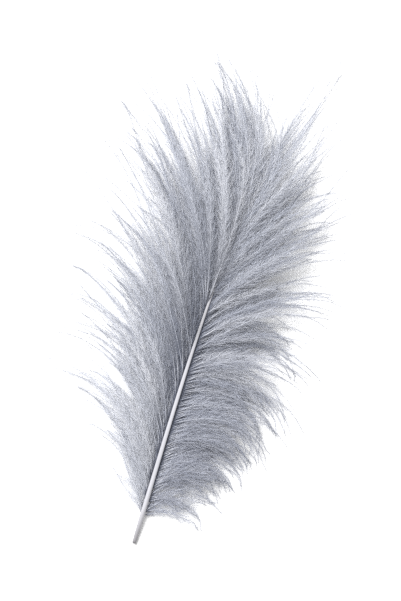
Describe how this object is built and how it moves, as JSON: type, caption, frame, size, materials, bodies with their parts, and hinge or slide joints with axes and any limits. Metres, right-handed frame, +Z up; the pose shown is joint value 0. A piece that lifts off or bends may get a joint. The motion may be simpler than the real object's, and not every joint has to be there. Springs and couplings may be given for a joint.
{
  "type": "marabou feather",
  "caption": "Soft grey marabou plume lying flat, with a bare quill, a thin bending shaft and downy barbs that fan out to both sides and end in a loose, wispy tip.",
  "frame": {"origin": "middle of the plume's footprint, on the surface that it lies on", "axes": "+Y from the cut end of the quill towards the tip, +Z up from the surface, +X to the right seen from above with the tip away from the viewer"},
  "size_m": [0.0602, 0.1152, 0.0098],
  "materials": {
    "dyed_down": "soft matte down, dyed blue-grey",
    "quill_keratin": "smooth satin keratin, pale grey"
  },
  "bodies": {
    "root": {"feather": "dyed_down"}
  },
  "joints": []
}
